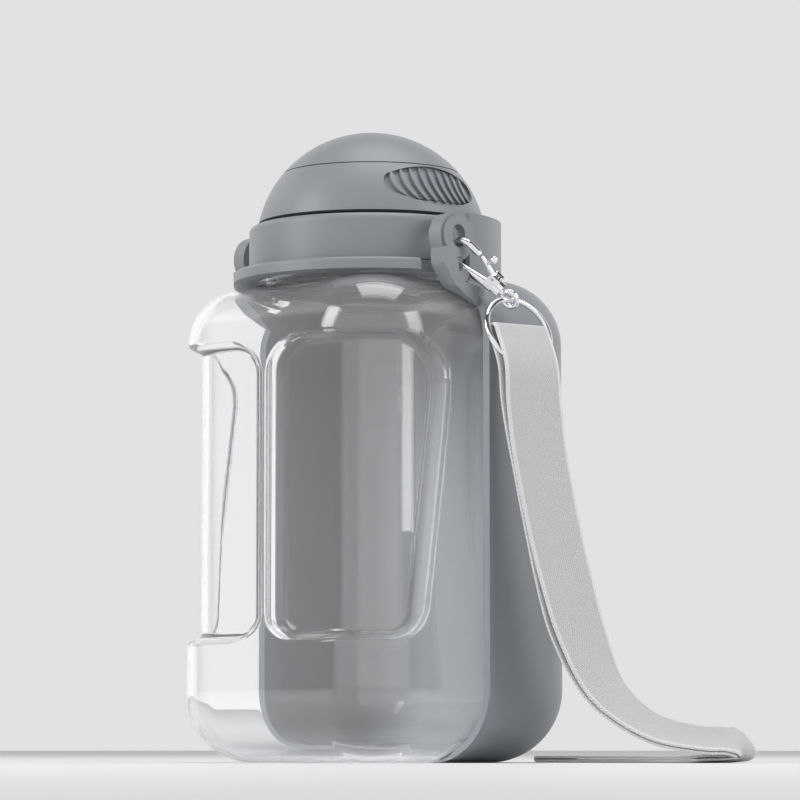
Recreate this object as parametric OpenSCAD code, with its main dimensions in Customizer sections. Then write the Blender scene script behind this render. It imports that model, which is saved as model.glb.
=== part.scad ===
// Travel water bottle for a dog, with a bowl that clips round its back,
// a screw lid with a domed pour cap, and a webbing strap on a snap hook.
// Origin: the centre of the base. +Z up, -Y the clear front, +Y the bowl,
// +X the side that carries the hook and the strap. Millimetres.

/* [Bottle] */
// Width of the square bottle across its flats
body_w = 120; // [110:1:150]
// Radius of the four upright corners
body_corner_r = 30; // [27:1:40]
// Radius where the walls meet the base
base_r = 26; // [18:1:27]
// Radius of the shoulder
shoulder_r = 23; // [16:1:25]
// Height of the flat on top of the shoulder
shoulder_z = 187; // [160:1:230]
// Wall of the clear bottle
bottle_wall = 2.4; // [1.8:0.1:3]
// Outer radius of the neck
neck_r = 43.5; // [40:0.5:46]
// Wall of the neck
neck_wall = 2.8; // [2:0.1:3.2]
// Height of the neck above the shoulder flat
neck_h = 18.5; // [16:0.5:24]

/* [Grip windows] */
// Depth of the two recessed grip windows
window_depth = 5.5; // [3:0.5:7]
// Height of the lower edge of the windows
window_low = 48; // [40:1:60]
// Gap between the top edge of the windows and the shoulder flat
window_drop = 25; // [22:1:40]
// Width of the upright spine between the two windows
spine_w = 10; // [6:1:16]
// Distance from the mid plane to the rear edge of a window at its top
window_rear_top = 17; // [12:1:24]
// Distance from the mid plane to the rear edge of a window at its bottom
window_rear_low = 34; // [25:1:40]

/* [Bowl] */
// Wall of the bowl
bowl_wall = 2.5; // [2:0.1:3.2]
// Clearance between the bowl and the bottle
bowl_gap = 0.35; // [0.3:0.05:0.8]
// Height of the yoke that runs round the lid, above the shoulder flat
yoke_h = 26; // [22:1:30]
// Height of the bead round the bowl's front edge
rim_bead = 0.8; // [0.4:0.1:1.2]

/* [Eyelets] */
// Outer radius of an eyelet
eyelet_r = 9.5; // [8.5:0.5:11]
// Thickness of an eyelet plate
eyelet_t = 4; // [3:0.5:5]
// Width of the hole in an eyelet
eyelet_hole_w = 7; // [6:0.5:8]
// Height of the hole in an eyelet
eyelet_hole_h = 9; // [8:0.5:10]
// Distance from the mid plane to the eyelet's centre
eyelet_fwd = 11.5; // [11:0.5:14]
// Height of the eyelet's centre above the shoulder flat
eyelet_h = 15; // [13:0.5:18]
// Space behind an eyelet for the hook's wire
eyelet_space = 6; // [5:0.5:8]
// Depth of the thick front rim behind an eyelet plate
eyelet_rim = 3; // [1:0.5:4]

/* [Lid] */
// Outer radius of the screw collar
collar_r = 48.5; // [47.5:0.5:52]
// Wall of the screw collar
collar_wall = 2.2; // [1.8:0.1:3]
// Thickness of the lid's deck
lid_deck_t = 4.5; // [3:0.5:6]
// Reach of the front flange beyond the collar
flange_reach = 6; // [3:0.5:8]
// Height of the neck ring
ring_h = 4.5; // [3:0.5:6]
// Height of the support bead under the neck ring
bead_h = 2; // [1.5:0.5:3]
// Outer radius of the turret that the dome screws on
turret_r = 37.4; // [34:0.2:38]
// Wall of the turret
turret_wall = 3.4; // [2.4:0.2:4]
// Height of the turret above the lid's deck
turret_h = 8.5; // [6:0.5:10]
// Screw clearance between threaded walls
thread_gap = 1; // [0.8:0.1:1.4]
// Thickness of the flat sealing rings
seal_t = 1.5; // [1:0.1:2]

/* [Dome] */
// Radius of the dome's sphere
dome_r = 45.8; // [45:0.2:48]
// Depth of the sphere's centre below the underside of the dome
dome_sink = 9.4; // [8:0.2:11]
// Dark joint between the lid's deck and the dome
dome_joint = 1.5; // [1:0.1:2]
// Height of the grip band
band_h = 19.7; // [18:0.1:22]
// Wall of the dome
dome_wall = 2.6; // [2:0.1:3]
// Gap between the grip band and the crown
crown_gap = 0.4; // [0.3:0.05:0.6]
// Angle of the grips when the dome is screwed down
grip_angle = -6; // [-20:1:20]
// Length of an oval grip
grip_l = 44; // [36:1:50]
// Height of an oval grip
grip_w = 16; // [12:0.5:17]
// Depth of an oval grip
grip_depth = 1.3; // [0.8:0.1:1.6]
// Number of ribs in a grip
grip_ribs = 9; // [5:1:11]

/* [Pour valve] */
// Thickness of the pour deck
pour_deck_t = 2.9; // [2:0.1:4]
// Radius of the pour port
port_r = 5; // [4:0.5:6]
// Distance of the port and the crown's hole from the axis
port_offset = 16; // [14:0.5:18]
// Radius of the pour hole in the crown
pour_hole_r = 4.6; // [3.5:0.1:5.5]
// Direction of the crown's hole when shut, counted from +X
shut_angle = 238; // [210:1:260]
// Turn of the crown from shut to open
open_turn = 60; // [45:1:90]
// Radius of the crown's stem
stem_r = 4; // [3:0.5:5]
// Running clearance of the stem in the deck
stem_gap = 0.05; // [0.02:0.01:0.1]
// Thickness of the valve rotor
rotor_t = 2.2; // [1.5:0.1:3]

/* [Strap hardware] */
// Radius of the hook's wire
hook_wire_r = 1.4; // [1:0.1:1.5]
// Radius of the hook's bow, to the middle of the wire
hook_bow_r = 5.7; // [5.4:0.1:6.5]
// Length from the bow's centre to the swivel's eye
hook_l = 25; // [25:0.5:30]
// Outer radius of the swivel barrel
barrel_r = 3; // [2.6:0.1:3.6]
// Radius of the swivel's stem
swivel_stem_r = 1.3; // [1:0.1:1.6]
// Radius of the gate's pin
gate_pin_r = 0.7; // [0.5:0.1:1]
// Radius of the strap ring, to the middle of the wire
ring_r = 14.25; // [14:0.25:16]
// Radius of the ring's wire
ring_wire_r = 1.15; // [1:0.05:1.5]

/* [Strap] */
// Width of the webbing
strap_w = 25; // [20:1:25]
// Thickness of the doubled webbing
strap_t = 2.6; // [2:0.1:3.2]

/* [Hidden] */
$fn = 64;

// A margin by which cutters pass the faces that they open
over = 1;
half_w = body_w / 2;
bowl_step = bowl_wall + bowl_gap;
far = 2 * body_w;

// Heights, from the shoulder up
bead_top = shoulder_z + bead_h;
ring_top = bead_top + ring_h;
neck_top = shoulder_z + neck_h;
deck_low = neck_top + seal_t;
deck_top = deck_low + lid_deck_t;
turret_top = deck_top + turret_h;
dome_low = deck_top + dome_joint;
dome_z = dome_low - dome_sink;
band_top = dome_low + band_h;
pour_low = turret_top + seal_t;
pour_top = pour_low + pour_deck_t;
running = 0.3;
rotor_low = pour_top + running;
rotor_top = rotor_low + rotor_t;
crown_low = band_top + crown_gap;
yoke_top = shoulder_z + yoke_h;
yoke_r = collar_r + 2 * running;
collar_low = ring_top + running;
eyelet_z = shoulder_z + eyelet_h;
eyelet_x = collar_r + eyelet_space;
window_high = shoulder_z - window_drop;

dome_inner_r = dome_r - dome_wall;
// Radius of a sphere about the dome's centre, cut at a height
function dome_cut(r, z) = sqrt(r * r - (z - dome_z) * (z - dome_z));

plastic_grey = [0.50, 0.52, 0.54];
silicone_pale = [0.86, 0.87, 0.88];
steel = [0.82, 0.83, 0.85];
web_grey = [0.72, 0.72, 0.72];
clear_plastic = [0.85, 0.89, 0.92, 0.35];

// ---- outlines -------------------------------------------------------------

function unit(v) = v / norm(v);
function turn_cos(p, a, b) = unit(a - p) * unit(b - p);
function corner_reach(p, a, b, r) = r * sqrt((1 + turn_cos(p, a, b)) / (1 - turn_cos(p, a, b)));
function corner_centre(p, a, b, r) =
    p + unit(unit(a - p) + unit(b - p)) * r / sqrt((1 - turn_cos(p, a, b)) / 2);

// A polygon whose corners are true arcs, each of its own radius
module rounded_outline(points, radii) {
    n = len(points);
    prev = [for (i = [0:n - 1]) points[(i + n - 1) % n]];
    next = [for (i = [0:n - 1]) points[(i + 1) % n]];
    reach = [for (i = [0:n - 1]) corner_reach(points[i], prev[i], next[i], radii[i])];
    tangents = [for (i = [0:n - 1], side = [0, 1])
        points[i] + unit((side == 0 ? prev[i] : next[i]) - points[i]) * reach[i]];
    polygon(tangents);
    for (i = [0:n - 1])
        translate(corner_centre(points[i], prev[i], next[i], radii[i]))
            circle(radii[i]);
}

// Half of an upright section: straight wall with a rounded foot and a rounded shoulder
module half_section(reach, low, r_low, high, r_high) {
    translate([0, low])
        square([reach - r_low, high - low]);
    translate([0, low + r_low])
        square([reach - r_high, high - low - r_low]);
    translate([0, low + r_low])
        square([reach, high - low - r_low - r_high]);
    intersection() {
        translate([reach - r_low, low + r_low])
            circle(r_low);
        translate([0, low])
            square([reach, r_low]);
    }
    intersection() {
        translate([reach - r_high, high - r_high])
            circle(r_high);
        translate([0, high - r_high])
            square([reach, r_high]);
    }
}

// The bottle's outer form, drawn in by inset, standing on low
module rounded_body(inset, low) {
    arm = half_w - body_corner_r;
    corner = body_corner_r - inset;
    high = shoulder_z - inset;
    foot = base_r - inset;
    top = shoulder_r - inset;
    translate([-arm, -arm, low])
        cube([2 * arm, 2 * arm, high - low]);
    for (k = [0:3])
        rotate([0, 0, 90 * k]) {
            translate([arm, arm, 0])
                rotate_extrude(angle = 90)
                    half_section(corner, low, foot, high, top);
            translate([arm, arm, 0])
                rotate([90, 0, 0])
                    linear_extrude(2 * arm)
                        half_section(corner, low, foot, high, top);
        }
}

// One grip window as a prism along the bottle's diagonal, widened by grow
module window_prism(grow) {
    diagonal = sqrt(0.5);
    inner = (spine_w / 2 - half_w) * diagonal - grow;
    rear_top = (half_w - window_rear_top) * diagonal + grow;
    rear_low = (half_w - window_rear_low) * diagonal + grow;
    low = window_low - grow;
    high = window_high + grow;
    outline = [[inner, low], [rear_low, low], [rear_top, high], [inner, high]];
    rotate([0, 0, 45])
        rotate([90, 0, 0])
            linear_extrude(body_w)
                rounded_outline(outline, [9 + grow, 11 + grow, 20 + grow, 12 + grow]);
}

// The body with its two grip windows pressed in
module gripped_body(inset, low) {
    difference() {
        rounded_body(inset, low);
        difference() {
            union() {
                window_prism(inset);
                mirror([1, 0, 0])
                    window_prism(inset);
            }
            rounded_body(window_depth + inset, low + window_depth);
        }
    }
}

// Keeps the front half or the rear half of what it is given
module half_space(rear) {
    intersection() {
        translate([-far / 2, rear ? 0 : -far, -far / 2])
            cube([far, far, 2 * far]);
        children();
    }
}

// A flat ring
module washer(outer, inner, low, high) {
    translate([0, 0, low])
        difference() {
            cylinder(h = high - low, r = outer);
            translate([0, 0, -over])
                cylinder(h = high - low + 2 * over, r = inner);
        }
}

// ---- bottle ---------------------------------------------------------------

module bottle() {
    color(clear_plastic)
        difference() {
            union() {
                half_space(false)
                    gripped_body(0, 0);
                half_space(true)
                    rounded_body(0, bowl_step);
                translate([0, 0, shoulder_z - shoulder_r])
                    cylinder(h = neck_top - shoulder_z + shoulder_r, r = neck_r);
                translate([0, 0, shoulder_z - bead_h])
                    cylinder(h = 2 * bead_h, r = neck_r + neck_wall);
            }
            gripped_body(bottle_wall, bowl_step + bottle_wall);
            translate([0, 0, shoulder_z - shoulder_r])
                cylinder(h = far, r = neck_r - neck_wall);
        }
}

// Fixed trim ring on the neck: a flange round the front, clear of the yoke behind
module neck_ring() {
    front = eyelet_fwd + eyelet_r + 2;
    edge = 1.5;
    color(plastic_grey)
        difference() {
            union() {
                translate([0, 0, bead_top])
                    cylinder(h = ring_h, r = collar_r - 0.1);
                intersection() {
                    rotate_extrude()
                        union() {
                            translate([0, bead_top])
                                square([collar_r + flange_reach, ring_h - edge]);
                            translate([0, bead_top])
                                square([collar_r + flange_reach - edge, ring_h]);
                            translate([collar_r + flange_reach - edge, ring_top - edge])
                                circle(edge);
                        }
                    translate([-far / 2, -far, 0])
                        cube([far, far - front, far]);
                }
            }
            translate([0, 0, bead_top - over])
                cylinder(h = ring_h + 2 * over, r = neck_r + running);
        }
}

// ---- lid ------------------------------------------------------------------

module neck_gasket() {
    color(silicone_pale)
        washer(neck_r - 0.1, neck_r - neck_wall + 0.2, neck_top, deck_low);
}

// Screw collar with its deck and the turret for the dome
module lid_collar() {
    edge = 2.5;
    color(plastic_grey)
        rotate_extrude()
            difference() {
                union() {
                    translate([turret_r - turret_wall, collar_low])
                        square([collar_r - turret_r + turret_wall, deck_top - edge - collar_low]);
                    translate([turret_r - turret_wall, collar_low])
                        square([collar_r - turret_r + turret_wall - edge, deck_top - collar_low]);
                    translate([collar_r - edge, deck_top - edge])
                        circle(edge);
                    translate([turret_r - turret_wall, deck_low])
                        square([turret_wall, turret_top - deck_low]);
                }
                translate([0, collar_low - over])
                    square([collar_r - collar_wall, deck_low - collar_low + over]);
            }
}

module dome_seal() {
    color(silicone_pale)
        washer(turret_r - 0.2, turret_r - turret_wall + 0.2, turret_top, pour_low);
}

// ---- dome -----------------------------------------------------------------

// A four-centre oval, long along X
module oval(long, short, end_r) {
    a = long / 2 - end_r;
    b = short / 2;
    side_r = (a * a + b * b - end_r * end_r) / (2 * (b - end_r));
    touch = a * side_r / (side_r - end_r);
    intersection() {
        translate([0, b - side_r])
            circle(side_r, $fn = 96);
        translate([0, side_r - b])
            circle(side_r, $fn = 96);
        translate([-touch, -b])
            square([2 * touch, 2 * b]);
    }
    for (s = [-1, 1])
        translate([s * a, 0])
            circle(end_r);
}

// One slanted crescent rib, drawn flat
module crescent(height, bulge) {
    r = (height * height / 4 + bulge * bulge) / (2 * bulge);
    difference() {
        translate([r - bulge, 0])
            circle(r);
        translate([r - bulge + 1.5, 0])
            circle(r - 0.2);
        translate([0, -far / 2])
            square([far, far]);
    }
}

// Oval grip recess, as the solid that is taken out of the band
module grip_recess() {
    mid_z = dome_low + 0.56 * band_h;
    end_r = 4.5;
    pitch = grip_l / (grip_ribs + 1.6);
    translate([0, 0, mid_z])
        rotate([90, 0, 90])
            difference() {
                linear_extrude(far)
                    oval(grip_l, grip_w, end_r);
                for (k = [0:grip_ribs - 1]) {
                    x = (k - (grip_ribs - 1) / 2) * pitch;
                    tall = 0.92 * grip_w * sqrt(1 - pow(x / (grip_l / 2 + 2), 2));
                    linear_extrude(far)
                        translate([x, 0])
                            rotate(14)
                                crescent(tall, 2.4);
                }
            }
}

// Grip band: the lower zone of the dome, with two oval grips
module dome_band() {
    groove_in = turret_r + thread_gap + 2;
    color(plastic_grey)
        difference() {
            rotate_extrude()
                difference() {
                    intersection() {
                        translate([0, dome_z])
                            circle(dome_r, $fn = 128);
                        translate([0, dome_low])
                            square([far, band_h]);
                    }
                    intersection() {
                        translate([0, dome_z])
                            circle(dome_inner_r, $fn = 128);
                        translate([0, pour_top + running / 3])
                            square([far, far]);
                    }
                    translate([0, dome_low - over])
                        square([turret_r + thread_gap, pour_top + running / 3 - dome_low + over]);
                    translate([groove_in, dome_low - over])
                        square([dome_cut(dome_r, dome_low) - dome_wall - groove_in, 5 + over]);
                }
            for (s = [0, 180])
                rotate([0, 0, s + grip_angle])
                    difference() {
                        grip_recess();
                        translate([0, 0, dome_z])
                            sphere(dome_r - grip_depth, $fn = 128);
                    }
        }
}

// Fixed deck of the pour valve, with the port, the stem's bore and two seal grooves
module pour_deck() {
    groove = 1;
    color(plastic_grey)
        difference() {
            translate([0, 0, pour_low])
                cylinder(h = pour_deck_t, r = turret_r + thread_gap - 0.1);
            translate([0, 0, pour_low - over])
                cylinder(h = pour_deck_t + 2 * over, r = stem_r + stem_gap);
            rotate([0, 0, shut_angle + open_turn])
                translate([port_offset, 0, pour_low - over])
                    cylinder(h = pour_deck_t + 2 * over, r = port_r);
            rotate([0, 0, shut_angle + open_turn])
                translate([port_offset, 0, 0])
                    washer(port_r + 2, port_r + 0.5, pour_top - groove, pour_top + over);
            washer(29.2, 27.2, pour_top - groove, pour_top + over);
        }
}

module port_seal() {
    color(silicone_pale)
        rotate([0, 0, shut_angle + open_turn])
            translate([port_offset, 0, 0])
                washer(port_r + 1.9, port_r + 0.6, pour_top - 0.95, pour_top + 0.2);
}

module deck_seal() {
    color(silicone_pale)
        washer(29.1, 27.3, pour_top - 0.95, pour_top + 0.2);
}

// Crown of the dome: the turning cap with its pour hole, skirt and stem
module crown() {
    skirt_r = dome_cut(dome_inner_r, band_top) - 2 * running;
    skirt_wall = 2.2;
    tilt = asin(port_offset / dome_r);
    screw_bore_r = 1.55;
    color(plastic_grey)
        difference() {
            union() {
                rotate_extrude()
                    union() {
                        difference() {
                            intersection() {
                                translate([0, dome_z])
                                    circle(dome_r, $fn = 128);
                                translate([0, crown_low])
                                    square([far, far]);
                            }
                            translate([0, dome_z])
                                circle(dome_inner_r, $fn = 128);
                        }
                        difference() {
                            translate([skirt_r - skirt_wall, rotor_top])
                                square([skirt_wall, crown_low + 3 - rotor_top]);
                            translate([0, rotor_top - over])
                                square([skirt_r - skirt_wall - over, far]);
                        }
                    }
                translate([0, 0, pour_low])
                    cylinder(h = dome_z + dome_r - dome_wall / 2 - pour_low, r = stem_r);
            }
            rotate([0, 0, shut_angle])
                translate([0, 0, dome_z])
                    rotate([0, tilt, 0])
                        cylinder(h = far, r = pour_hole_r);
            translate([0, 0, pour_low - over])
                cylinder(h = 12, r = screw_bore_r);
        }
}

// Rotor under the crown: shuts the port, or lays its own hole over it
module valve_rotor() {
    skirt_r = dome_cut(dome_inner_r, band_top) - 2 * running;
    color(silicone_pale)
        difference() {
            translate([0, 0, rotor_low])
                cylinder(h = rotor_t, r = skirt_r);
            translate([0, 0, rotor_low - over])
                cylinder(h = rotor_t + 2 * over, r = stem_r + stem_gap);
            rotate([0, 0, shut_angle])
                translate([port_offset, 0, rotor_low - over])
                    cylinder(h = rotor_t + 2 * over, r = port_r);
        }
}

module crown_washer() {
    color(steel)
        washer(7, 1.6, pour_low - 1.1, pour_low - 0.1);
}

module crown_screw() {
    head_h = 2;
    head_low = pour_low - 1.15 - head_h;
    color(steel)
        difference() {
            union() {
                translate([0, 0, head_low])
                    cylinder(h = head_h, r = 2.9);
                translate([0, 0, head_low])
                    cylinder(h = head_h + 10, r = 1.5);
            }
            for (a = [0, 90])
                rotate([0, 0, a])
                    translate([-2, -0.4, head_low - over])
                        cube([4, 0.8, over + 1]);
        }
}

// ---- bowl -----------------------------------------------------------------

// Raised arm and eyelet plate of one side, standing off the lid
module eyelet() {
    rim_x = eyelet_x - eyelet_rim;
    rim_t = eyelet_rim + eyelet_t - 1.2;
    front = eyelet_fwd + eyelet_r;
    rim_back = eyelet_fwd + eyelet_hole_w / 2 + 1;
    arm = [[3, shoulder_z - 13], [3, shoulder_z - 4], [1 - eyelet_fwd, shoulder_z - 2],
           [-eyelet_fwd - 1, eyelet_z - 7], [1 - front, eyelet_z - 4],
           [1.2 - front, shoulder_z + 4], [-eyelet_fwd - 2, shoulder_z - 4]];
    translate([eyelet_x, -eyelet_fwd, eyelet_z])
        rotate([0, 90, 0]) {
            cylinder(h = eyelet_t - 1.2, r = eyelet_r);
            cylinder(h = eyelet_t, r = eyelet_r - 1.4);
        }
    intersection() {
        translate([rim_x, -eyelet_fwd, eyelet_z])
            rotate([0, 90, 0])
                cylinder(h = rim_t, r = eyelet_r);
        translate([0, -far, 0])
            cube([far, far - rim_back, far]);
    }
    translate([rim_x, 0, 0])
        rotate([90, 0, 90])
            linear_extrude(eyelet_rim + eyelet_t)
                rounded_outline(arm, [1, 1, 2.5, 1, 1, 3, 3]);
}

module eyelet_hole() {
    hole_r = eyelet_hole_w / 2;
    rise = (eyelet_hole_h - eyelet_hole_w) / 2;
    translate([eyelet_x - over, -eyelet_fwd, eyelet_z])
        rotate([90, 0, 90])
            linear_extrude(eyelet_t + 2 * over)
                union() {
                    translate([0, rise])
                        circle(hole_r);
                    translate([0, -rise])
                        circle(hole_r);
                    translate([-hole_r, -rise])
                        square([2 * hole_r, 2 * rise]);
                }
}

// Half shell round the back of the bottle, with the yoke and the two eyelets
module bowl() {
    yoke_back = 2;
    bead_w = 3;
    bead_low = 5;
    color(plastic_grey)
        difference() {
            union() {
                half_space(true)
                    rounded_body(-bowl_step, 0);
                intersection() {
                    rounded_body(-bowl_step - rim_bead, 0);
                    translate([-far / 2, 0, bead_low])
                        cube([far, bead_w, far]);
                }
                intersection() {
                    washer(yoke_r + bowl_wall, yoke_r - over, shoulder_z - 10, yoke_top);
                    translate([-far / 2, yoke_back, 0])
                        cube([far, far, far]);
                }
                eyelet();
                mirror([1, 0, 0])
                    eyelet();
            }
            rounded_body(-bowl_gap, bowl_wall);
            translate([0, 0, shoulder_z - 10])
                cylinder(h = far, r = yoke_r);
            eyelet_hole();
            mirror([1, 0, 0])
                eyelet_hole();
        }
}

// ---- strap hardware -------------------------------------------------------

// The hook's own frame: z up its shank, x from the shank to the gate
hook_down = unit([0.515, 0.498, -0.70]);
hook_tilt = 45;
view_in = unit([hook_down[1], -hook_down[0], 0]);
view_up = cross(hook_down, view_in);
hook_y = -view_in * cos(hook_tilt) - view_up * sin(hook_tilt);
hook_z = -hook_down;
hook_x = cross(hook_y, hook_z);
// Middle of the eyelet's bar that the bow holds
bar_reach = (eyelet_hole_h / 2 + eyelet_r) / 2;
bar_dir = unit([0, hook_y[2], -hook_y[1]]);
bar_at = [eyelet_x + eyelet_t / 2, -eyelet_fwd, eyelet_z] + bar_dir * bar_reach;
// The bow hangs on the bar, with its wire about 0.3 clear of it
bow_sag = hook_bow_r - hook_wire_r - 3.45;
hook_at = bar_at + hook_down * bow_sag;
// Turn of the ring's chord about the upright, and its outward lean
ring_turn = 78;
ring_lean = 0.45;

module place(origin, x, y, z) {
    multmatrix([[x[0], y[0], z[0], origin[0]],
                [x[1], y[1], z[1], origin[1]],
                [x[2], y[2], z[2], origin[2]],
                [0, 0, 0, 1]])
        children();
}

module in_hook() {
    place(hook_at, hook_x, hook_y, hook_z)
        children();
}

// A round bar between two points of the hook's plane, tapering from r1 to r2
module taper(a, b, r1, r2) {
    d = b - a;
    translate([a[0], 0, a[1]])
        rotate([0, atan2(d[0], d[1]), 0])
            cylinder(h = norm(d), r1 = r1, r2 = r2);
}

barrel_top = -17;
barrel_low = -20.4;
cavity_top = barrel_top - 0.8;
cavity_low = barrel_low + 1.2;
cavity_r = barrel_r - 0.85;
eye_r = 3.2;
eye_wire_r = 1.05;
gate_foot = [2.6, -15.2];

// Bow, shank and barrel of the snap hook, with two lugs for the gate's pin
module hook_body() {
    lug_t = 0.9;
    lug_in = 1.25;
    elbow = [-hook_bow_r, 0];
    nose_l = 4.2;
    nose_taper = 1.1;
    color(steel)
        in_hook()
            difference() {
                union() {
                    rotate([90, 0, 0])
                        rotate_extrude(angle = 180)
                            translate([hook_bow_r, 0])
                                circle(hook_wire_r);
                    translate([elbow[0], 0, elbow[1]])
                        sphere(hook_wire_r + 0.08);
                    translate([hook_bow_r, 0, -nose_l])
                        cylinder(h = nose_l + 0.3, r = hook_wire_r + 0.05);
                    translate([hook_bow_r, 0, -nose_l - nose_taper])
                        cylinder(h = nose_taper, r1 = hook_wire_r - 0.5, r2 = hook_wire_r + 0.05);
                    taper(elbow, [-1.6, barrel_top - 0.5], hook_wire_r, hook_wire_r + 0.7);
                    translate([0, 0, barrel_low])
                        cylinder(h = barrel_top - barrel_low, r = barrel_r);
                    for (s = [-1, 1])
                        translate([0, s * (lug_in + lug_t / 2) + lug_t / 2, 0])
                            rotate([90, 0, 0])
                                linear_extrude(lug_t)
                                    rounded_outline([[-0.9, barrel_top - 1], [gate_foot[0] + 1.6, barrel_top - 1],
                                                     [gate_foot[0] + 1.6, gate_foot[1] + 1.6],
                                                     [-1.7, gate_foot[1] + 2.4]], [0.3, 0.6, 1.2, 0.6]);
                }
                translate([0, 0, barrel_low - over])
                    cylinder(h = cavity_low - barrel_low + 2 * over, r = swivel_stem_r + 0.05);
                translate([0, 0, cavity_low])
                    cylinder(h = cavity_top - cavity_low, r = cavity_r);
                translate([gate_foot[0], 4, gate_foot[1]])
                    rotate([90, 0, 0])
                        cylinder(h = 8, r = gate_pin_r);
            }
}

module gate_pin() {
    color(steel)
        in_hook()
            translate([gate_foot[0], 2.3, gate_foot[1]])
                rotate([90, 0, 0])
                    cylinder(h = 4.6, r = gate_pin_r);
}

// Leaf that presses the gate shut
module gate_spring() {
    color(steel)
        in_hook()
            translate([0.5, 0.7, barrel_top])
                rotate([90, 0, 0])
                    linear_extrude(1.4)
                        polygon([[0, 0], [0.28, 0], [0.32, 2], [0.95, 3.5], [0.7, 3.6], [0.05, 2.1]]);
}

// Sprung gate with its thumb knob
module hook_gate() {
    tip = [hook_bow_r - 0.3, -6.8];
    color(steel)
        in_hook()
            difference() {
                union() {
                    translate([gate_foot[0], 1.05, gate_foot[1]])
                        rotate([90, 0, 0])
                            cylinder(h = 2.1, r = 1.5);
                    taper([gate_foot[0] + 0.2, gate_foot[1] + 0.4], tip, 1.0, 0.85);
                    translate([tip[0], 0, tip[1]])
                        sphere(0.9);
                    taper([4.5, -9.6], [8.4, -10.45], 0.8, 0.7);
                    translate([8.6, 0, -10.5])
                        sphere(1.5);
                }
                translate([gate_foot[0], 4, gate_foot[1]])
                    rotate([90, 0, 0])
                        cylinder(h = 8, r = gate_pin_r + 0.05);
            }
}

// Frame of the ring: it hangs in the eye and leans outwards
ring_right = [cos(ring_turn), sin(ring_turn), 0];
ring_out = cross(ring_right, [0, 0, 1]);
ring_hang = unit(ring_out * ring_lean + [0, 0, -1]);
ring_n = cross(ring_right, -ring_hang);
ring_at = hook_at + hook_down * hook_l + ring_hang * ring_r;

// The swivel's eye faces along the ring's wire
eye_face = unit(ring_right - hook_z * (ring_right * hook_z));
module in_swivel() {
    place(hook_at, cross(eye_face, hook_z), eye_face, hook_z)
        children();
}

// Eye, stem and head that turn in the barrel
module swivel_eye() {
    head_gap = 0.1;
    color(steel)
        in_swivel() {
            translate([0, 0, eye_r - hook_l])
                cylinder(h = cavity_low + 0.5 + hook_l - eye_r, r = swivel_stem_r);
            translate([0, 0, cavity_low + head_gap])
                cylinder(h = cavity_top - cavity_low - 2 * head_gap, r = cavity_r - head_gap);
            translate([0, 0, -hook_l])
                rotate([90, 0, 0])
                    rotate_extrude()
                        translate([eye_r, 0])
                            circle(eye_wire_r);
        }
}

module strap_ring() {
    color(steel)
        place(ring_at, cross(ring_n, -ring_hang), ring_n, -ring_hang)
            rotate([90, 0, 0])
                rotate_extrude()
                    translate([ring_r, 0])
                        circle(ring_wire_r);
}

// ---- strap ----------------------------------------------------------------

// Middle of the doubled webbing, from the ring to its end behind the bowl:
// x, y, z, and the turn of its width from the ring's chord
strap_route = [concat(ring_at, 0), concat(ring_at + ring_hang * 15.7, 0),
               [82.5, 3, 139, -2], [83.5, 4.5, 125, -2], [85, 6.8, 109, -1],
               [86.5, 10.2, 91, 0], [88, 14.5, 72, 2], [90.5, 20.5, 50, 6], [96, 32, 27, 18],
               [105.5, 47.5, 13.5, 38],
               [116, 63, 9, 44], [122, 71.5, 8.2, 42], [124.8, 74.6, 7.2, 41],
               [125.6, 75.4, 5.8, 40], [124.6, 75.4, 4.2, 38], [121, 75.6, 2.7, 32],
               [112, 76.5, 1.6, 20], [96, 78, 1.4, 16], [74, 79, 1.4, 16], [50, 80, 1.4, 16],
               [26, 80.5, 1.4, 16]];
// Half the distance between the two layers' middles, and where the ring spreads them
layer_t = strap_t / 2 - 0.1;
layer_half = strap_t / 4 + 0.1;
ring_half = ring_wire_r + running + layer_t / 2;
spread = [ring_half, ring_half, layer_half + 0.2];
fold_steps = 4;

function route_at(i) = [for (k = [0:2]) strap_route[i][k]];
function route_dir(i) =
    let (n = len(strap_route))
    unit(route_at(min(i + 1, n - 1)) - route_at(max(i - 1, 0)));
function route_wide(i) =
    let (psi = strap_route[i][3],
         flat = ring_right * cos(psi) - ring_out * sin(psi),
         t = route_dir(i),
         w = unit(flat - t * (flat * t)))
    w;
function route_half(i) = i < len(spread) ? spread[i] : layer_half;
// One cross-section: its middle, its width and the way it faces
function station(i, turn, ends) =
    let (t = route_dir(i),
         w = route_wide(i),
         face = cross(t, w) * cos(turn) + t * ends * sin(turn))
    [route_at(i) + face * route_half(i), w, face];

module strap() {
    n = len(strap_route);
    loop = concat(
        [for (i = [0:n - 1]) station(i, 0, 1)],
        [for (k = [1:fold_steps - 1]) station(n - 1, 180 * k / fold_steps, 1)],
        [for (i = [0:n - 1]) station(n - 1 - i, 180, 1)],
        [for (k = [1:fold_steps - 1]) station(0, 180 - 180 * k / fold_steps, -1)]);
    m = len(loop);
    points = [for (s = loop, c = [[-1, -1], [1, -1], [1, 1], [-1, 1]])
        s[0] + s[1] * (c[0] * strap_w / 2) + s[2] * (c[1] * layer_t / 2)];
    quads = [for (j = [0:m - 1], c = [0:3])
        let (a = 4 * j, b = 4 * ((j + 1) % m), d = (c + 1) % 4)
        [[a + c, b + c, b + d], [a + c, b + d, a + d]]];
    color(web_grey)
        polyhedron([for (p = points) p], [for (q = quads, t = q) t]);
}

bottle();
neck_ring();
neck_gasket();
lid_collar();
dome_seal();
dome_band();
pour_deck();
port_seal();
deck_seal();
crown();
valve_rotor();
crown_washer();
crown_screw();
bowl();
hook_body();
gate_pin();
gate_spring();
hook_gate();
swivel_eye();
strap_ring();
strap();
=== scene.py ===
"""Looks of the travel water bottle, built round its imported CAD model."""
import math

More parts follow.
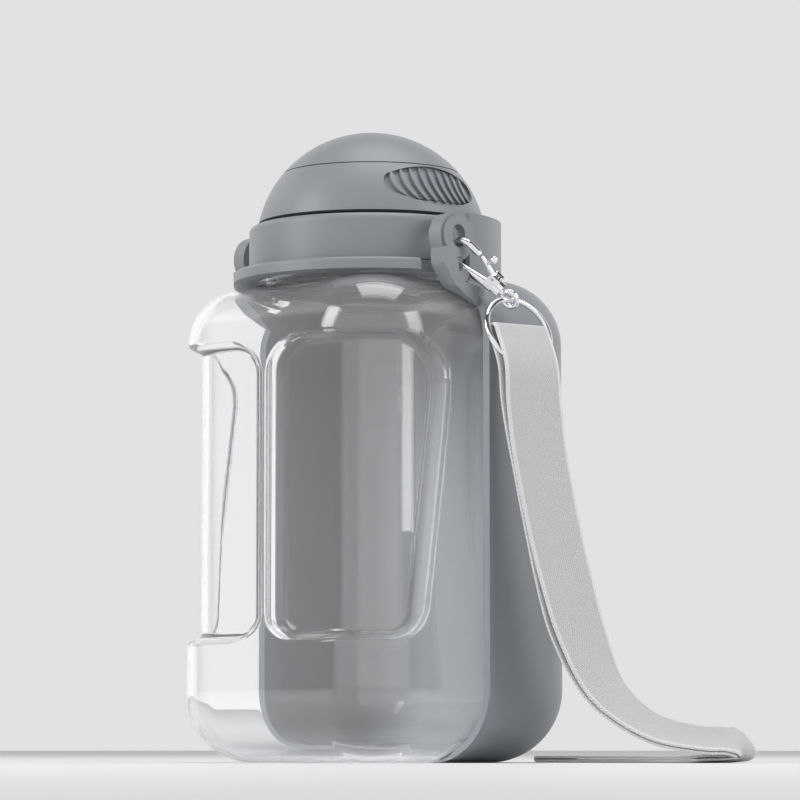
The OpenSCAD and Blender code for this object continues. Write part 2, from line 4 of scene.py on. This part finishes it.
import bpy
import numpy as np
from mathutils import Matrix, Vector


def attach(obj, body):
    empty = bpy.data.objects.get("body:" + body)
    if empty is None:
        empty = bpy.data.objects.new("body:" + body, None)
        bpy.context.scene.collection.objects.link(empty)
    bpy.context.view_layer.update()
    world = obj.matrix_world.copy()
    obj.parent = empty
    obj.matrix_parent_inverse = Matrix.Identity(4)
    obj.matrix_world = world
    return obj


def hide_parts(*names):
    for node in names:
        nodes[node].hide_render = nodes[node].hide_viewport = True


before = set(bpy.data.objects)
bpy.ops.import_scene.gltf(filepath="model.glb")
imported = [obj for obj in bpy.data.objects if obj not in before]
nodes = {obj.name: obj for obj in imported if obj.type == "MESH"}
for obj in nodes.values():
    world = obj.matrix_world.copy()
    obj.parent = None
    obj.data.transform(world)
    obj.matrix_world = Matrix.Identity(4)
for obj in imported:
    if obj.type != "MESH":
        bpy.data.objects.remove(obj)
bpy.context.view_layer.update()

MM = 0.001


# ---- camera ----------------------------------------------------------------

CAMERA_AT = (1.050, -1.070, 0.006)
CAMERA_AIM = (0.0082, 0.0079, 0.1430)
CAMERA_LENS = 171.0

camera_data = bpy.data.cameras.new("camera")
camera = bpy.data.objects.new("camera", camera_data)
bpy.context.scene.collection.objects.link(camera)
camera.location = CAMERA_AT
camera.rotation_euler = (Vector(CAMERA_AIM) - camera.location).to_track_quat("-Z", "Y").to_euler()
camera_data.lens = CAMERA_LENS
bpy.context.scene.camera = camera


# ---- meshes ----------------------------------------------------------------

def make_mesh(name, points, faces, smooth=True):
    """A mesh object from an n x 3 array in millimetres and a list of index arrays."""
    mesh = bpy.data.meshes.new(name)
    corners = [list(face) for part in faces for face in part.tolist()]
    mesh.from_pydata((np.asarray(points) * MM).tolist(), [], corners)
    mesh.validate()
    mesh.polygons.foreach_set("use_smooth", [smooth] * len(mesh.polygons))
    mesh.update()
    obj = bpy.data.objects.new(name, mesh)
    bpy.context.scene.collection.objects.link(obj)
    return obj


def tube_faces(rows, cols, close_rows=False):
    """Quads between neighbouring rows of a grid whose columns close on themselves."""
    last = rows if close_rows else rows - 1
    i, j = np.meshgrid(np.arange(last), np.arange(cols), indexing="ij")
    after, beside = (i + 1) % rows, (j + 1) % cols
    near, far = i * cols, after * cols
    quads = np.stack([near + j, near + beside, far + beside, far + j], axis=-1)
    return quads.reshape(-1, 4)


def smooth_step(x):
    """0 below 0, 1 above 1, and an S between."""
    t = np.clip(x, 0.0, 1.0)
    return t * t * (3.0 - 2.0 * t)


def unit_rows(vectors):
    """Each row at length 1."""
    return vectors / np.linalg.norm(vectors, axis=1, keepdims=True)


def run_length(line):
    """Distance along a line of points, 0 at its first."""
    return np.concatenate([[0.0], np.cumsum(np.linalg.norm(np.diff(line, axis=0), axis=1))])


# ---- clear bottle (millimetres) --------------------------------------------

HALF = 60.0
CORNER = 30.0
ARM = HALF - CORNER
FOOT = 26.0
SHOULDER = 23.0
SHOULDER_Z = 187.0
NECK_R = 43.5
NECK_TOP = 205.5
WALL = 2.4
NECK_WALL = 2.8
BEAD_R = 46.3            # support bead under the thread
THREAD_PITCH = 6.0
THREAD_H = 1.5
THREAD_W = 0.9
WINDOW_DEPTH = 5.5       # grip windows
STEP_WIDTH = 3.8
WINDOW_LOW = 48.0
WINDOW_HIGH = 162.0
WINDOW_MIDDLE = 105.0
WINDOW_FADE = 36.0       # below this height the wall is never pressed in
SPINE_HALF = 5.0         # half the plain spine between the two windows
REAR_TOP_IN = 17.0       # how far the slanted side stands in from the rear, at the top
REAR_LOW_IN = 34.0       # and at the foot
REAR_LIFT = 2.85         # the rear half stands on the bowl's floor
CREST_ROWS = 26


def skeleton():
    """The plan's 60 mm square and its outward directions: the wall stands on it at a distance of
    the corner radius, so straights share one direction and corners turn about one point."""
    front = np.linspace(-ARM, ARM, 66, endpoint=False)
    fine = np.linspace(-ARM, -8.0, 24, endpoint=False)
    side = np.concatenate([fine, np.linspace(-8.0, ARM, 9, endpoint=False)])
    rear = np.linspace(ARM, -ARM, 10, endpoint=False)
    turn = np.linspace(0.0, np.pi / 2, 44, endpoint=False)
    coarse = np.linspace(0.0, np.pi / 2, 12, endpoint=False)
    base, away = [], []

    def straight(x, y, nx, ny):
        base.append(np.stack(np.broadcast_arrays(x, y), axis=-1).astype(float))
        away.append(np.broadcast_to((float(nx), float(ny)), base[-1].shape))

    def corner(x, y, angles):
        base.append(np.broadcast_to((float(x), float(y)), (len(angles), 2)))
        away.append(np.stack([np.cos(angles), np.sin(angles)], axis=-1))

    straight(front, -ARM, 0, -1)
    corner(ARM, -ARM, turn - np.pi / 2)
    straight(ARM, side, 1, 0)
    corner(ARM, ARM, coarse)
    straight(rear, ARM, 0, 1)
    corner(-ARM, ARM, coarse + np.pi / 2)
    straight(-ARM, side[::-1], -1, 0)
    corner(-ARM, -ARM, turn + np.pi)
    return np.concatenate(base), np.concatenate(away)


def column_headings():
    """The direction in plan of each column of the wall, in radians."""
    base, away = skeleton()
    flat = base + away * CORNER
    return np.arctan2(flat[:, 1], flat[:, 0])


def window_distance(x, y, z):
    """Distance in millimetres from the outline of the grip window, below 0 inside it. The outline
    lies across the diagonal: three upright or level sides and a slanted rear side, with round
    corners, and the left window mirrors the right one."""
    diagonal = math.sqrt(0.5)
    across = (np.abs(x) + y) * diagonal
    inner = (SPINE_HALF - HALF) * diagonal
    rear_top = (HALF - REAR_TOP_IN) * diagonal
    rear_low = (HALF - REAR_LOW_IN) * diagonal
    lean = (rear_top - rear_low) / (WINDOW_HIGH - WINDOW_LOW)
    rear = (across - rear_low - lean * (z - WINDOW_LOW)) / math.hypot(1.0, lean)
    side = np.maximum(rear, inner - across)
    level = np.maximum(z - WINDOW_HIGH, WINDOW_LOW - z)
    upper = z > WINDOW_MIDDLE
    rear_radius, inner_radius = np.where(upper, 20.0, 11.0), np.where(upper, 12.0, 9.0)
    radius = np.where(rear > inner - across, rear_radius, inner_radius)
    u, v = side + radius, level + radius
    outside = np.hypot(np.maximum(u, 0.0), np.maximum(v, 0.0))
    return np.minimum(np.maximum(u, v), 0.0) + outside - radius


def bottle_rows(skin):
    """Rows of (inset, height, pull) up the wall at a depth of skin inside the outer face, from the
    base to the shoulder's crest. pull is 1 in the flat base, where the plan shrinks to a point."""
    foot, crest = FOOT - skin, SHOULDER - skin
    turn = np.linspace(0.0, np.pi / 2, 15)
    rows = [(FOOT, skin, s) for s in np.linspace(0.04, 1.0, 9)[:-1]]
    rows += [(FOOT - foot * math.sin(a), skin + foot * (1.0 - math.cos(a)), 1.0) for a in turn]
    heights = [30, 34, 38, 41] + list(np.arange(43.0, 56.0, 0.8)) + list(np.linspace(57, 148, 18))
    heights += list(np.arange(150.0, SHOULDER_Z - SHOULDER, 0.8))
    rows += [(skin, z, 1.0) for z in heights]
    rows += [(SHOULDER - crest * math.cos(a), SHOULDER_Z - SHOULDER + crest * math.sin(a), 1.0)
             for a in np.linspace(0.0, np.pi / 2, CREST_ROWS)]
    return np.array(rows)


def bottle_wall_points(skin):
    """One side of the wall: each row is the plan at its own inset and height, pressed in at the
    two windows by an S-shaped step, with the rear half lifted over the bowl's floor."""
    base, away = skeleton()
    rows = bottle_rows(skin)
    inset, z, pull = rows[:, 0:1], rows[:, 1:2], rows[:, 2:3]
    plan = base[None] * pull[..., None] + away[None] * (CORNER - inset)[..., None] * pull[..., None]
    z = np.broadcast_to(z, plan.shape[:2]).copy()
    reach = base[None] + away[None] * (CORNER - inset + skin)[..., None]
    step = window_distance(reach[..., 0], reach[..., 1], z)
    press = WINDOW_DEPTH * smooth_step(0.5 - step / STEP_WIDTH) * (reach[..., 1] < 30.0)
    press *= smooth_step((z - WINDOW_FADE) / 6.0)
    plan = plan - away[None] * press[..., None]
    behind = smooth_step((plan[..., 1] + 2.6) / 2.4)
    low_down = np.clip((FOOT + REAR_LIFT - z) / FOOT, 0.0, 1.0)
    z = z + REAR_LIFT * behind * low_down
    return np.concatenate([plan, z[..., None]], axis=-1)


def neck_rows(radius, heights):
    """Circular rows at the given radii and heights, one point for each column of the wall."""
    heading = column_headings()
    radius, heights = np.asarray(radius)[:, None], np.asarray(heights)[:, None]
    ring = [radius * np.cos(heading), radius * np.sin(heading), heights + 0.0 * heading]
    return np.stack(np.broadcast_arrays(*ring), axis=-1)


def clear_bottle():
    """One closed shell: outer wall, shoulder, bead, threaded neck and lip, then down the inside.
    The thread is a helical ridge: the radius is the neck's plus a round bump where the height, less
    the pitch times the turn, comes near the middle of a pitch."""
    heading = column_headings()
    outer = bottle_wall_points(0.0)
    plan_r = np.hypot(outer[..., 0], outer[..., 1])
    # the shoulder stops at the bead, which is rounder than the shoulder's own flat
    for k in range(len(outer) - CREST_ROWS, len(outer)):
        short = plan_r[k] < BEAD_R
        outer[k][short] = outer[k - 1][short]
    bead = neck_rows([BEAD_R + 0.3, BEAD_R, BEAD_R, 45.9, 44.6, NECK_R + 0.3, NECK_R],
                     [186.9, 187.3, 188.5, 188.95, 189.05, 189.2, 189.6])
    neck_z = np.arange(190.2, 204.9, 0.5)[:, None]
    turns = (neck_z - 192.0) / THREAD_PITCH - heading[None] / (2 * np.pi)
    ridge = np.exp(-((np.mod(turns, 1.0) - 0.5) * THREAD_PITCH / THREAD_W) ** 2)
    ridge = ridge * smooth_step((neck_z - 191.5) / 1.5) * smooth_step((203.6 - neck_z) / 1.5)
    neck_r = NECK_R + THREAD_H * ridge
    neck = [neck_r * np.cos(heading), neck_r * np.sin(heading), neck_z + 0.0 * neck_r]
    neck = np.stack(neck, axis=-1)
    lip = neck_rows([NECK_R, NECK_R - 0.5, NECK_R - NECK_WALL + 0.5, NECK_R - NECK_WALL],
                    [NECK_TOP - 0.5, NECK_TOP, NECK_TOP, NECK_TOP - 0.5])
    inner_r = NECK_R - NECK_WALL
    bore_z = list(np.linspace(203.0, 187.5, 6)) + [185.6]
    bore = neck_rows([inner_r] * 6 + [inner_r + 0.8], bore_z)
    inner = bottle_wall_points(WALL)[::-1]
    inner_plan = np.hypot(inner[..., 0], inner[..., 1])
    limit = inner_r + 1.0
    for k in range(CREST_ROWS - 1, -1, -1):
        short = inner_plan[k] < limit
        inner[k][short] = inner[k + 1][short]
    rows = np.concatenate([outer, bead, neck, lip, bore, inner])
    count, cols = rows.shape[0], rows.shape[1]
    points = rows.reshape(-1, 3)
    # a point in the middle closes the base, outside and inside
    under = np.array([[0.0, 0.0, outer[0, :, 2].mean()], [0.0, 0.0, inner[-1, :, 2].mean()]])
    points = np.concatenate([points, under])
    j = np.arange(cols)
    fan_low = np.stack([np.full(cols, count * cols), (j + 1) % cols, j], axis=-1)
    top = (count - 1) * cols
    fan_in = np.stack([np.full(cols, count * cols + 1), top + j, top + (j + 1) % cols], axis=-1)
    obj = make_mesh("clear_bottle", points, [tube_faces(count, cols), fan_low, fan_in])
    merge = obj.modifiers.new("merge", "WELD")
    merge.merge_threshold = 1e-6
    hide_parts("bottle")
    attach(obj, "bottle")
    return obj


# ---- webbing (millimetres) -------------------------------------------------

WEB_W = 25.0
WEB_T = 1.2
WEB_STEP = 2.0
MIDDLE_LOW = 1.4         # height of the doubled band's middle where it lies on the floor
LEAN = math.radians(20.0)
HALF_GAP = 0.75          # from the middle to each layer's own middle
RING_GAP = 1.42          # more than that round the ring
SPREAD = 1.0             # and where the layers hang free
FAR_FOLD, NEAR_FOLD = 5, 9
RING_AT = np.array([75.5112, 3.7104, 164.92])
RING_RIGHT = np.array([0.207912, 0.978148, 0.0])
RING_OUT = np.array([0.978148, -0.207912, 0.0])
RING_HANG = np.array([0.401397, -0.0853196, -0.911922])
# x, y, z of the band's middle and its turn in degrees
ROUTE = np.array([
    [82.5, 3, 139, -2], [83.5, 4.5, 125, -2], [85, 6.8, 109, -1], [86.5, 10.2, 91, 0],
    [88, 14.5, 72, 2], [90.5, 20.5, 50, 6], [96, 32, 27, 18], [105.5, 47.5, 13.5, 38],
    [116, 63, 9, 44], [122, 71.5, 8.2, 42], [124.8, 74.6, 7.2, 41], [125.6, 75.4, 5.8, 40],
    [124.6, 75.4, 4.2, 38], [121, 75.6, 2.7, 32], [112, 76.5, 1.6, 20], [96, 78, 1.4, 16],
    [74, 79, 1.4, 16], [50, 80, 1.4, 16], [26, 80.5, 1.4, 16]])
ROUTE = np.concatenate([[np.append(RING_AT, 0.0), np.append(RING_AT + 15.7 * RING_HANG, 0.0)], ROUTE])


def spline(stations, step):
    """Points every step millimetres along a cubic through the stations, whose slope at each comes
    from its neighbours over the straight distance between them. All columns run together."""
    s = run_length(stations[:, :3])
    slope = np.gradient(stations, s, axis=0)
    t = np.linspace(0.0, s[-1], int(round(s[-1] / step)) + 1)
    k = np.clip(np.searchsorted(s, t, side="right") - 1, 0, len(s) - 2)
    h = (s[k + 1] - s[k])[:, None]
    u = ((t - s[k])[:, None]) / h
    return (stations[k] * (1 + 2 * u) * (1 - u) ** 2 + slope[k] * h * u * (1 - u) ** 2
            + stations[k + 1] * u * u * (3 - 2 * u) + slope[k + 1] * h * u * u * (u - 1))


def webbing():
    """A flat band folded through the ring: its middle runs down the route on one side, round the
    far fold and back up the other side, and its width turns with the route. A point is the layer's
    middle, plus the width times its place across, plus the normal times half the thickness."""
    path = spline(ROUTE, WEB_STEP)
    centre, turn = path[:, :3], np.radians(path[:, 3])
    centre[:, 2] = np.maximum(centre[:, 2], MIDDLE_LOW)
    ahead = unit_rows(np.gradient(centre, axis=0))
    wide = RING_RIGHT * np.cos(turn)[:, None] - RING_OUT * np.sin(turn)[:, None]
    wide -= ahead * np.sum(wide * ahead, axis=1, keepdims=True)
    wide = unit_rows(wide)
    along = run_length(centre)
    # near the floor the band leans on its near edge, as far as its height leaves room
    room = (centre[:, 2] - 2.0) / (WEB_W / 2)
    roll = np.arcsin(np.clip(room, 0.0, math.sin(LEAN))) * smooth_step((along - 120.0) / 50.0)
    up = np.array([0.0, 0.0, 1.0])
    wide = unit_rows(wide * np.cos(roll)[:, None] + up * np.sin(roll)[:, None])
    # neither edge goes under the floor
    most = np.clip(room, 0.0, 0.6)
    tilt = np.clip(wide[:, 2], -most, most)[:, None]
    level = unit_rows(wide[:, :2]) * np.sqrt(1.0 - tilt * tilt)
    wide = np.concatenate([level, tilt], axis=1)
    face = unit_rows(np.cross(ahead, wide))
    apart = HALF_GAP + RING_GAP * (1.0 - smooth_step((along - 16.0) / 40.0))
    apart += SPREAD * np.exp(-(((along - 112.0) / 24.0) ** 2))
    front = centre + face * apart[:, None]
    back = (centre - face * apart[:, None])[::-1]

    def fold(mid, out, side, half, count):
        a = np.linspace(0.0, np.pi, count + 2)[1:-1, None]
        return mid + side * half * np.cos(a) + out * half * np.sin(a)

    far = fold(centre[-1], ahead[-1], face[-1], apart[-1], FAR_FOLD)
    near = fold(centre[0], -ahead[0], -face[0], apart[0], NEAR_FOLD)
    line = np.concatenate([front, far, back, near])
    far_width = np.repeat(wide[-1:], FAR_FOLD, 0)
    near_width = np.repeat(wide[:1], NEAR_FOLD, 0)
    width = np.concatenate([wide, far_width, wide[::-1], near_width])
    heading = np.gradient(np.concatenate([line[-2:], line, line[:2]]), axis=0)[2:-2]
    out = unit_rows(np.cross(heading, width))
    # the section: nine points on each face, thinner at the woven edges
    across = np.array([-1.0, -0.965, -0.9, -0.55, 0.0, 0.55, 0.9, 0.965, 1.0])
    thin = np.array([0.62, 0.9, 1.0, 1.0, 1.0, 1.0, 1.0, 0.9, 0.62])
    shift = np.concatenate([across, across[::-1]]) * WEB_W / 2
    rise = np.concatenate([thin, -thin[::-1]]) * WEB_T / 2
    points = line[:, None] + width[:, None] * shift[None, :, None]
    points = points + out[:, None] * rise[None, :, None]
    rows, cols = points.shape[:2]
    outward = tube_faces(rows, cols, close_rows=True)[:, ::-1]
    obj = make_mesh("webbing", points.reshape(-1, 3), [outward])
    length = run_length(line)
    total = length[-1] + np.linalg.norm(line[0] - line[-1])
    uv = obj.data.uv_layers.new(name="weave")
    loop_vertex = np.empty(len(obj.data.loops), int)
    obj.data.loops.foreach_get("vertex_index", loop_vertex)
    row, col = loop_vertex // cols, loop_vertex % cols
    u = shift[col] / WEB_W + 0.5
    # the last row of faces ends on the first row of points, at the whole length
    face_row = np.repeat(loop_vertex.reshape(-1, 4).max(axis=1) // cols, 4)
    v = np.where((face_row == rows - 1) & (row == 0), total, length[row])
    uv.data.foreach_set("uv", np.stack([u * WEB_W * MM, v * MM], axis=-1).ravel())
    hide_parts("strap")
    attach(obj, "ring")
    return obj


# ---- materials -------------------------------------------------------------

def material(name, colour, roughness, metallic=0.0):
    """A Principled material with its base values set on the shader's own sockets."""
    mat = bpy.data.materials.new(name)
    mat.use_nodes = True
    shader = mat.node_tree.nodes["Principled BSDF"]
    shader.inputs["Base Color"].default_value = (*colour, 1.0)
    shader.inputs["Roughness"].default_value = roughness
    shader.inputs["Metallic"].default_value = metallic
    return mat, mat.node_tree, shader


def maths(tree, operation, first, second=None, third=None):
    """The output of a Math node whose inputs are other outputs or plain numbers."""
    node = tree.nodes.new("ShaderNodeMath")
    node.operation = operation
    for socket, value in zip(node.inputs, (first, second, third)):
        if isinstance(value, float):
            socket.default_value = value
        elif value is not None:
            tree.links.new(value, socket)
    return node.outputs[0]


def ramp(tree, value, low, high, to_low=0.0, to_high=1.0):
    """The output of a Map Range node from low..high to to_low..to_high."""
    node = tree.nodes.new("ShaderNodeMapRange")
    node.inputs["From Min"].default_value = low
    node.inputs["From Max"].default_value = high
    node.inputs["To Min"].default_value = to_low
    node.inputs["To Max"].default_value = to_high
    tree.links.new(value, node.inputs["Value"])
    return node.outputs["Result"]


def blend_colours(tree, first, second, factor, blend="MIX"):
    """The colour output of a Mix node: first where factor is 0, second where it is 1."""
    node = tree.nodes.new("ShaderNodeMix")
    node.data_type = "RGBA"
    node.blend_type = blend
    sockets = node.inputs["Factor"], node.inputs[6], node.inputs[7]
    for socket, value in zip(sockets, (factor, first, second)):
        if isinstance(value, tuple):
            socket.default_value = (*value, 1.0)
        elif isinstance(value, float):
            socket.default_value = value
        else:
            tree.links.new(value, socket)
    return node.outputs[2]


def grey_plastic(name, colour):
    """Moulded satin plastic: a very fine, shallow texture and a soft change of gloss."""
    mat, tree, shader = material(name, colour, 0.42)
    place = tree.nodes.new("ShaderNodeTexCoord")
    grain = tree.nodes.new("ShaderNodeTexNoise")
    grain.inputs["Scale"].default_value = 2600.0
    grain.inputs["Detail"].default_value = 2.0
    cloud = tree.nodes.new("ShaderNodeTexNoise")
    cloud.inputs["Scale"].default_value = 35.0
    bump = tree.nodes.new("ShaderNodeBump")
    bump.inputs["Strength"].default_value = 0.05
    bump.inputs["Distance"].default_value = 0.0001
    tree.links.new(place.outputs["Object"], grain.inputs["Vector"])
    tree.links.new(place.outputs["Object"], cloud.inputs["Vector"])
    gloss = ramp(tree, cloud.outputs["Fac"], 0.0, 1.0, 0.38, 0.46)
    tree.links.new(gloss, shader.inputs["Roughness"])
    tree.links.new(grain.outputs["Fac"], bump.inputs["Height"])
    tree.links.new(bump.outputs["Normal"], shader.inputs["Normal"])
    return mat


def clear_plastic():
    """Clear blown plastic: refracts, and lets light through to what stands behind it."""
    mat, tree, shader = material("clear_plastic", (0.985, 0.99, 0.995), 0.0)
    shader.inputs["Transmission Weight"].default_value = 0.94
    shader.inputs["IOR"].default_value = 1.5
    path = tree.nodes.new("ShaderNodeLightPath")
    through = tree.nodes.new("ShaderNodeBsdfTransparent")
    through.inputs["Color"].default_value = (0.975, 0.98, 0.985, 1.0)
    mix = tree.nodes.new("ShaderNodeMixShader")
    out = tree.nodes["Material Output"]
    tree.links.new(path.outputs["Is Shadow Ray"], mix.inputs["Fac"])
    tree.links.new(shader.outputs["BSDF"], mix.inputs[1])
    tree.links.new(through.outputs["BSDF"], mix.inputs[2])
    tree.links.new(mix.outputs["Shader"], out.inputs["Surface"])
    return mat


def metal(name, colour, roughness):
    """Bare metal, polished or brushed by its roughness."""
    return material(name, colour, roughness, metallic=1.0)[0]


def silicone():
    """Milky seal rubber with a little light in its depth."""
    mat, tree, shader = material("silicone", (0.72, 0.73, 0.74), 0.55)
    shader.inputs["Subsurface Weight"].default_value = 0.2
    shader.inputs["Subsurface Radius"].default_value = (0.002, 0.002, 0.002)
    return mat


THREAD_ACROSS = 0.0011   # metres from thread to thread
THREAD_ALONG = 0.0016


def woven(name, colour, edge):
    """Twill webbing on its own UV map, in metres: two slanting waves of thread, the higher of the two
    at each point, painted shade that darkens the colour where the threads lie low, and a plain lighter
    border along both edges."""
    mat, tree, shader = material(name, colour, 0.85)
    uv = tree.nodes.new("ShaderNodeUVMap")
    uv.uv_map = "weave"
    split = tree.nodes.new("ShaderNodeSeparateXYZ")
    tree.links.new(uv.outputs["UV"], split.inputs["Vector"])

    u, v = split.outputs["X"], split.outputs["Y"]

    def wave(slant):
        across = maths(tree, "MULTIPLY", u, slant * 2 * math.pi / THREAD_ACROSS)
        phase = maths(tree, "MULTIPLY_ADD", v, 2 * math.pi / THREAD_ALONG, across)
        return maths(tree, "SINE", phase)

    thread = maths(tree, "MAXIMUM", wave(1.0), wave(-1.0))
    # painted shade: the colour is multiplied down to 0.78 where the threads lie low, in the hollows of
    # the weave
    painted_weave_shade = ramp(tree, thread, -1.0, 1.0, 0.78, 1.0)
    body = blend_colours(tree, colour, painted_weave_shade, 1.0, blend="MULTIPLY")
    from_middle = maths(tree, "ABSOLUTE", maths(tree, "SUBTRACT", u, WEB_W * MM / 2))
    border = ramp(tree, from_middle, (WEB_W / 2 - 1.5) * MM, (WEB_W / 2 - 1.1) * MM)
    edged = blend_colours(tree, body, edge, border)
    tree.links.new(edged, shader.inputs["Base Color"])
    bump = tree.nodes.new("ShaderNodeBump")
    bump.inputs["Strength"].default_value = 0.5
    bump.inputs["Distance"].default_value = 0.0003
    tree.links.new(thread, bump.inputs["Height"])
    tree.links.new(bump.outputs["Normal"], shader.inputs["Normal"])
    shader.inputs["Sheen Weight"].default_value = 0.3
    return mat


def paint(node, mat):
    """Gives a piece one material on all its faces."""
    obj = nodes[node] if isinstance(node, str) else node
    obj.data.materials.clear()
    obj.data.materials.append(mat)


grey = grey_plastic("grey_plastic", (0.235, 0.252, 0.270))
clear = clear_plastic()
chrome = metal("chrome", (0.88, 0.88, 0.89), 0.05)
steel = metal("steel", (0.62, 0.62, 0.63), 0.28)
pale = silicone()
web = woven("webbing", (0.58, 0.58, 0.575), edge=(0.72, 0.72, 0.715))

bottle = clear_bottle()
paint(bottle, clear)
strap = webbing()
paint(strap, web)
for node in ("neck_ring", "lid_collar", "dome_band", "pour_deck", "crown", "bowl"):
    paint(node, grey)
for node in ("neck_gasket", "dome_seal", "port_seal", "deck_seal", "valve_rotor"):
    paint(node, pale)
for node in ("hook_body", "hook_gate", "swivel_eye", "strap_ring"):
    paint(node, chrome)
for node in ("crown_washer", "crown_screw", "gate_pin", "gate_spring"):
    paint(node, steel)


# ---- floor, backdrop and light ---------------------------------------------

def plain_floor(reach, colour):
    """A square of floor under the object, reach metres from the middle to each side."""
    corners = np.array([(-reach, -reach, 0), (reach, -reach, 0), (reach, reach, 0), (-reach, reach, 0)])
    obj = make_mesh("floor", corners / MM, [np.array([[0, 1, 2, 3]])], smooth=False)
    paint(obj, material("floor", colour, 0.6)[0])


plain_floor(4.0, (0.72, 0.72, 0.725))


BACKDROP = (0.76, 0.76, 0.765)
ROOM_LIGHT = (0.60, 0.60, 0.6075)
ACROSS_VIEW = (0.719, 0.695, 0.0)


def world_light():
    """Even pale room: plain grey light on the pieces, a lighter backdrop to the camera, and in gloss
    and through the clear plastic a white room with dark panels at both sides and a dark ceiling."""
    world = bpy.data.worlds.new("room")
    bpy.context.scene.world = world
    world.use_nodes = True
    tree = world.node_tree
    back = tree.nodes["Background"]
    heading = tree.nodes.new("ShaderNodeTexCoord")
    path = tree.nodes.new("ShaderNodeLightPath")

    def panel(direction, start, full):
        """0 until the heading comes near the direction or its opposite, then up to 1."""
        dot = tree.nodes.new("ShaderNodeVectorMath")
        dot.operation = "DOT_PRODUCT"
        dot.inputs[1].default_value = direction
        tree.links.new(heading.outputs["Generated"], dot.inputs[0])
        return ramp(tree, maths(tree, "ABSOLUTE", dot.outputs["Value"]), start, full)

    side = panel(ACROSS_VIEW, 0.80, 0.88)
    ceiling = panel((0.0, 0.0, 1.0), 0.55, 0.70)
    in_gloss = blend_colours(tree, (0.95, 0.95, 0.96), (0.03, 0.03, 0.035), side)
    in_gloss = blend_colours(tree, in_gloss, (0.10, 0.10, 0.105), ceiling)
    in_clear = blend_colours(tree, (1.02, 1.02, 1.03), (0.06, 0.06, 0.065), side)
    in_clear = blend_colours(tree, in_clear, (0.25, 0.25, 0.255), ceiling)
    seen = blend_colours(tree, ROOM_LIGHT, BACKDROP, path.outputs["Is Camera Ray"])
    seen = blend_colours(tree, seen, in_gloss, path.outputs["Is Glossy Ray"])
    seen = blend_colours(tree, seen, in_clear, path.outputs["Is Transmission Ray"])
    tree.links.new(seen, back.inputs["Color"])
    back.inputs["Strength"].default_value = 1.0


MIDDLE = (0.0, 0.0, 0.14)


def softbox(name, place, size, power):
    """A soft lamp that faces the object's middle."""
    light = bpy.data.lights.new(name, "AREA")
    light.shape = "RECTANGLE"
    light.size, light.size_y = size
    light.energy = power
    obj = bpy.data.objects.new(name, light)
    obj.location = place
    obj.rotation_euler = (Vector(MIDDLE) - Vector(place)).to_track_quat("-Z", "Y").to_euler()
    bpy.context.scene.collection.objects.link(obj)


world_light()
softbox("key", (-0.55, -1.15, 0.75), (0.5, 0.9), 9.0)
softbox("fill", (1.3, 0.5, 0.6), (0.6, 0.9), 7.0)
softbox("top", (0.1, 0.1, 1.3), (0.8, 0.8), 6.0)

bpy.context.scene.view_settings.view_transform = "Standard"
